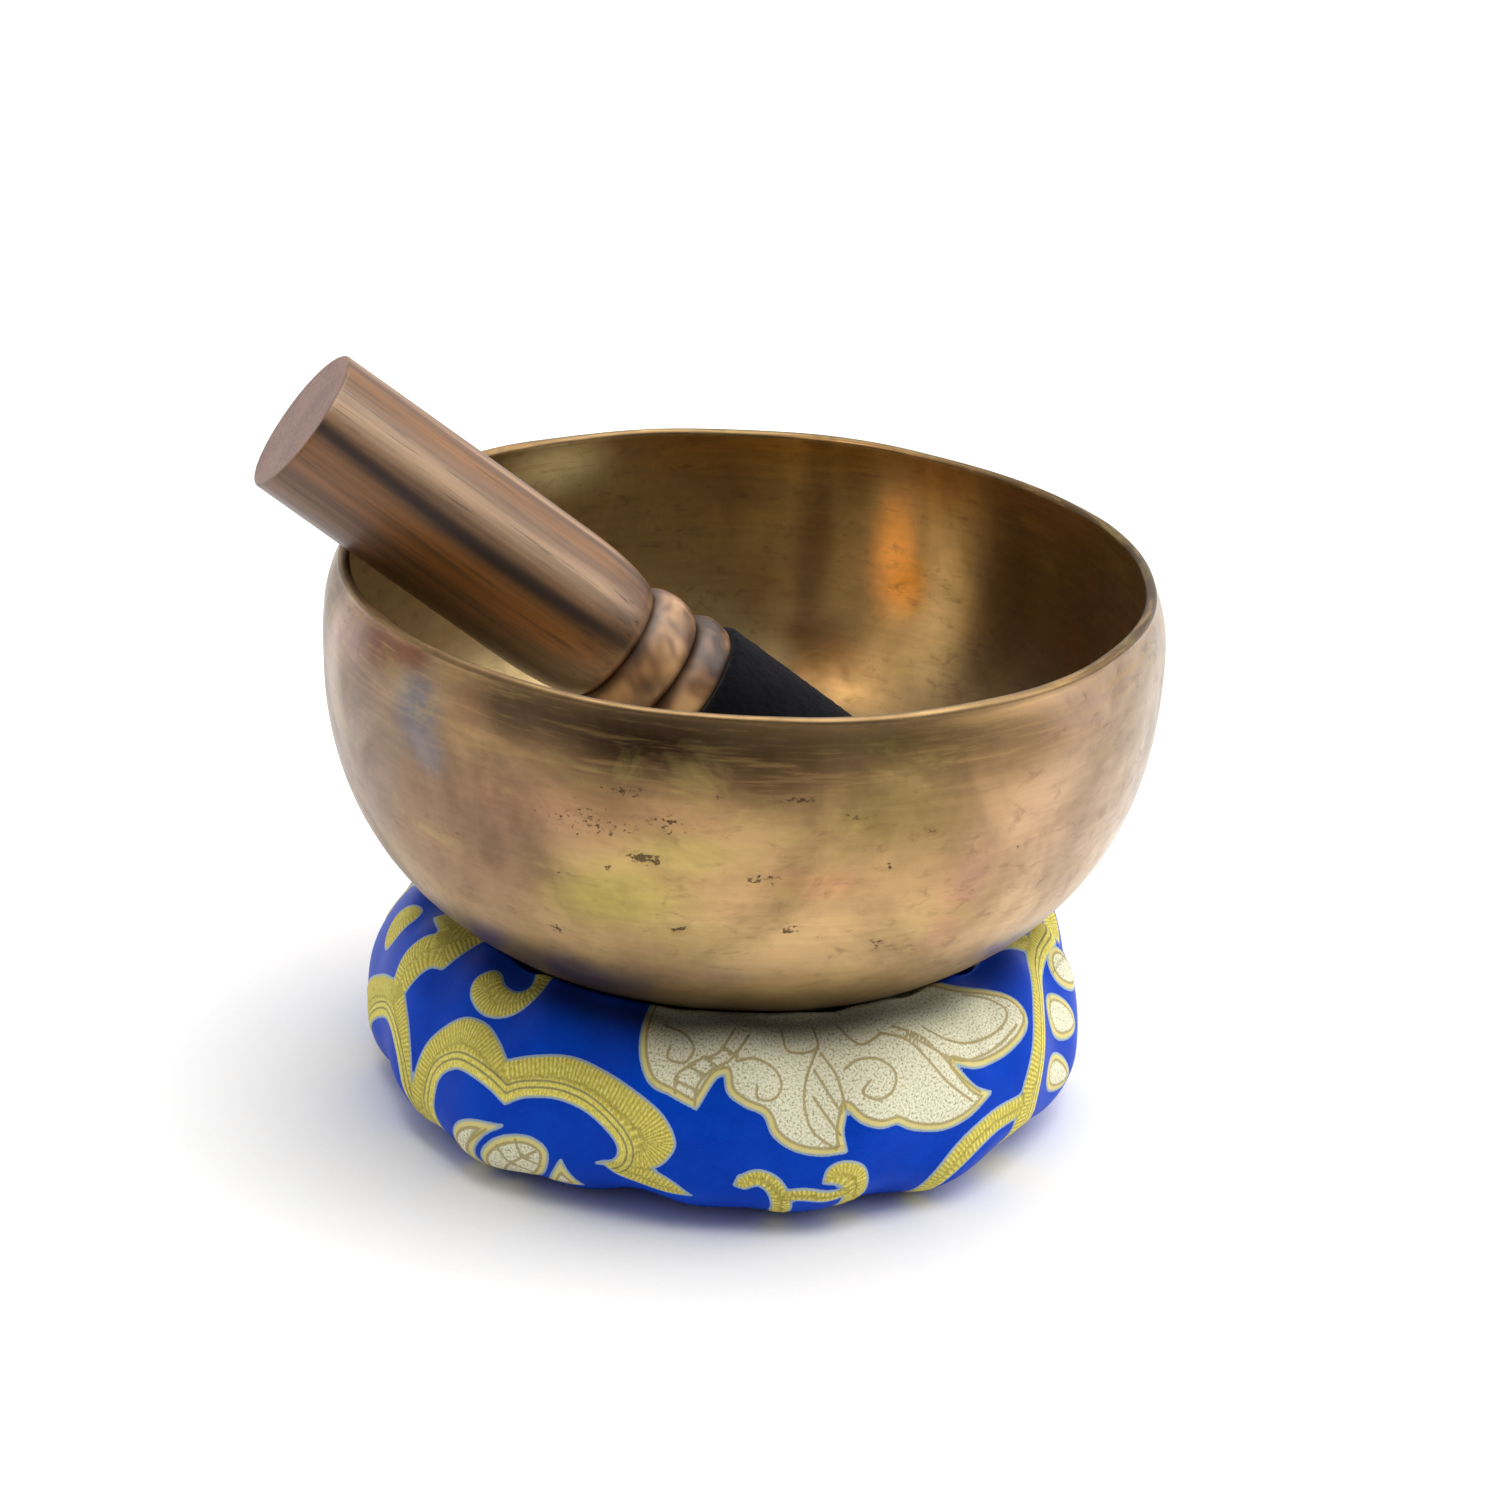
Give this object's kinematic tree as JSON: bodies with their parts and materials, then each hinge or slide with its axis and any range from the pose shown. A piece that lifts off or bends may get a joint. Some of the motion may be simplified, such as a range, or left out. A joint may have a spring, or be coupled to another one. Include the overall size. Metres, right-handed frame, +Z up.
{
  "type": "singing bowl",
  "caption": "Hammered bronze singing bowl on a brocade ring cushion, with a turned wooden mallet with a suede sleeve leaning in the bowl.",
  "frame": {"origin": "on the surface that the cushion rests on, on the axis shared by the bowl and the ring cushion", "axes": "+Z up along the bowl's axis, +X towards the side that the mallet's tip points to, +Y towards the back, where the cushion's end seam is"},
  "size_m": [0.1674, 0.1552, 0.1395],
  "materials": {
    "bronze": "hammered and brushed, with patina",
    "rosewood": "satin, oiled",
    "suede": "napped",
    "brocade": "woven satin with gold and silver figures",
    "wadding": "loose cotton",
    "gold_thread": "twisted"
  },
  "bodies": {
    "cushion": {"cushion_cover": "brocade", "cushion_filling": "wadding", "ring_seam_stitches": "gold_thread", "end_seam_stitches": "gold_thread"},
    "bowl": {"bowl": "bronze"},
    "mallet": {"mallet_stick": "rosewood", "mallet_sleeve": "suede"}
  },
  "joints": [
    {"name": "bowl_lift", "type": "slide", "parent": "cushion", "child": "bowl", "axis": [0, 0, 1], "range_m": [0, 0.11]},
    {"name": "mallet_draw", "type": "slide", "parent": "bowl", "child": "mallet", "axis": [-0.7, -0.1171, 0.7044], "range_m": [0, 0.15]}
  ]
}
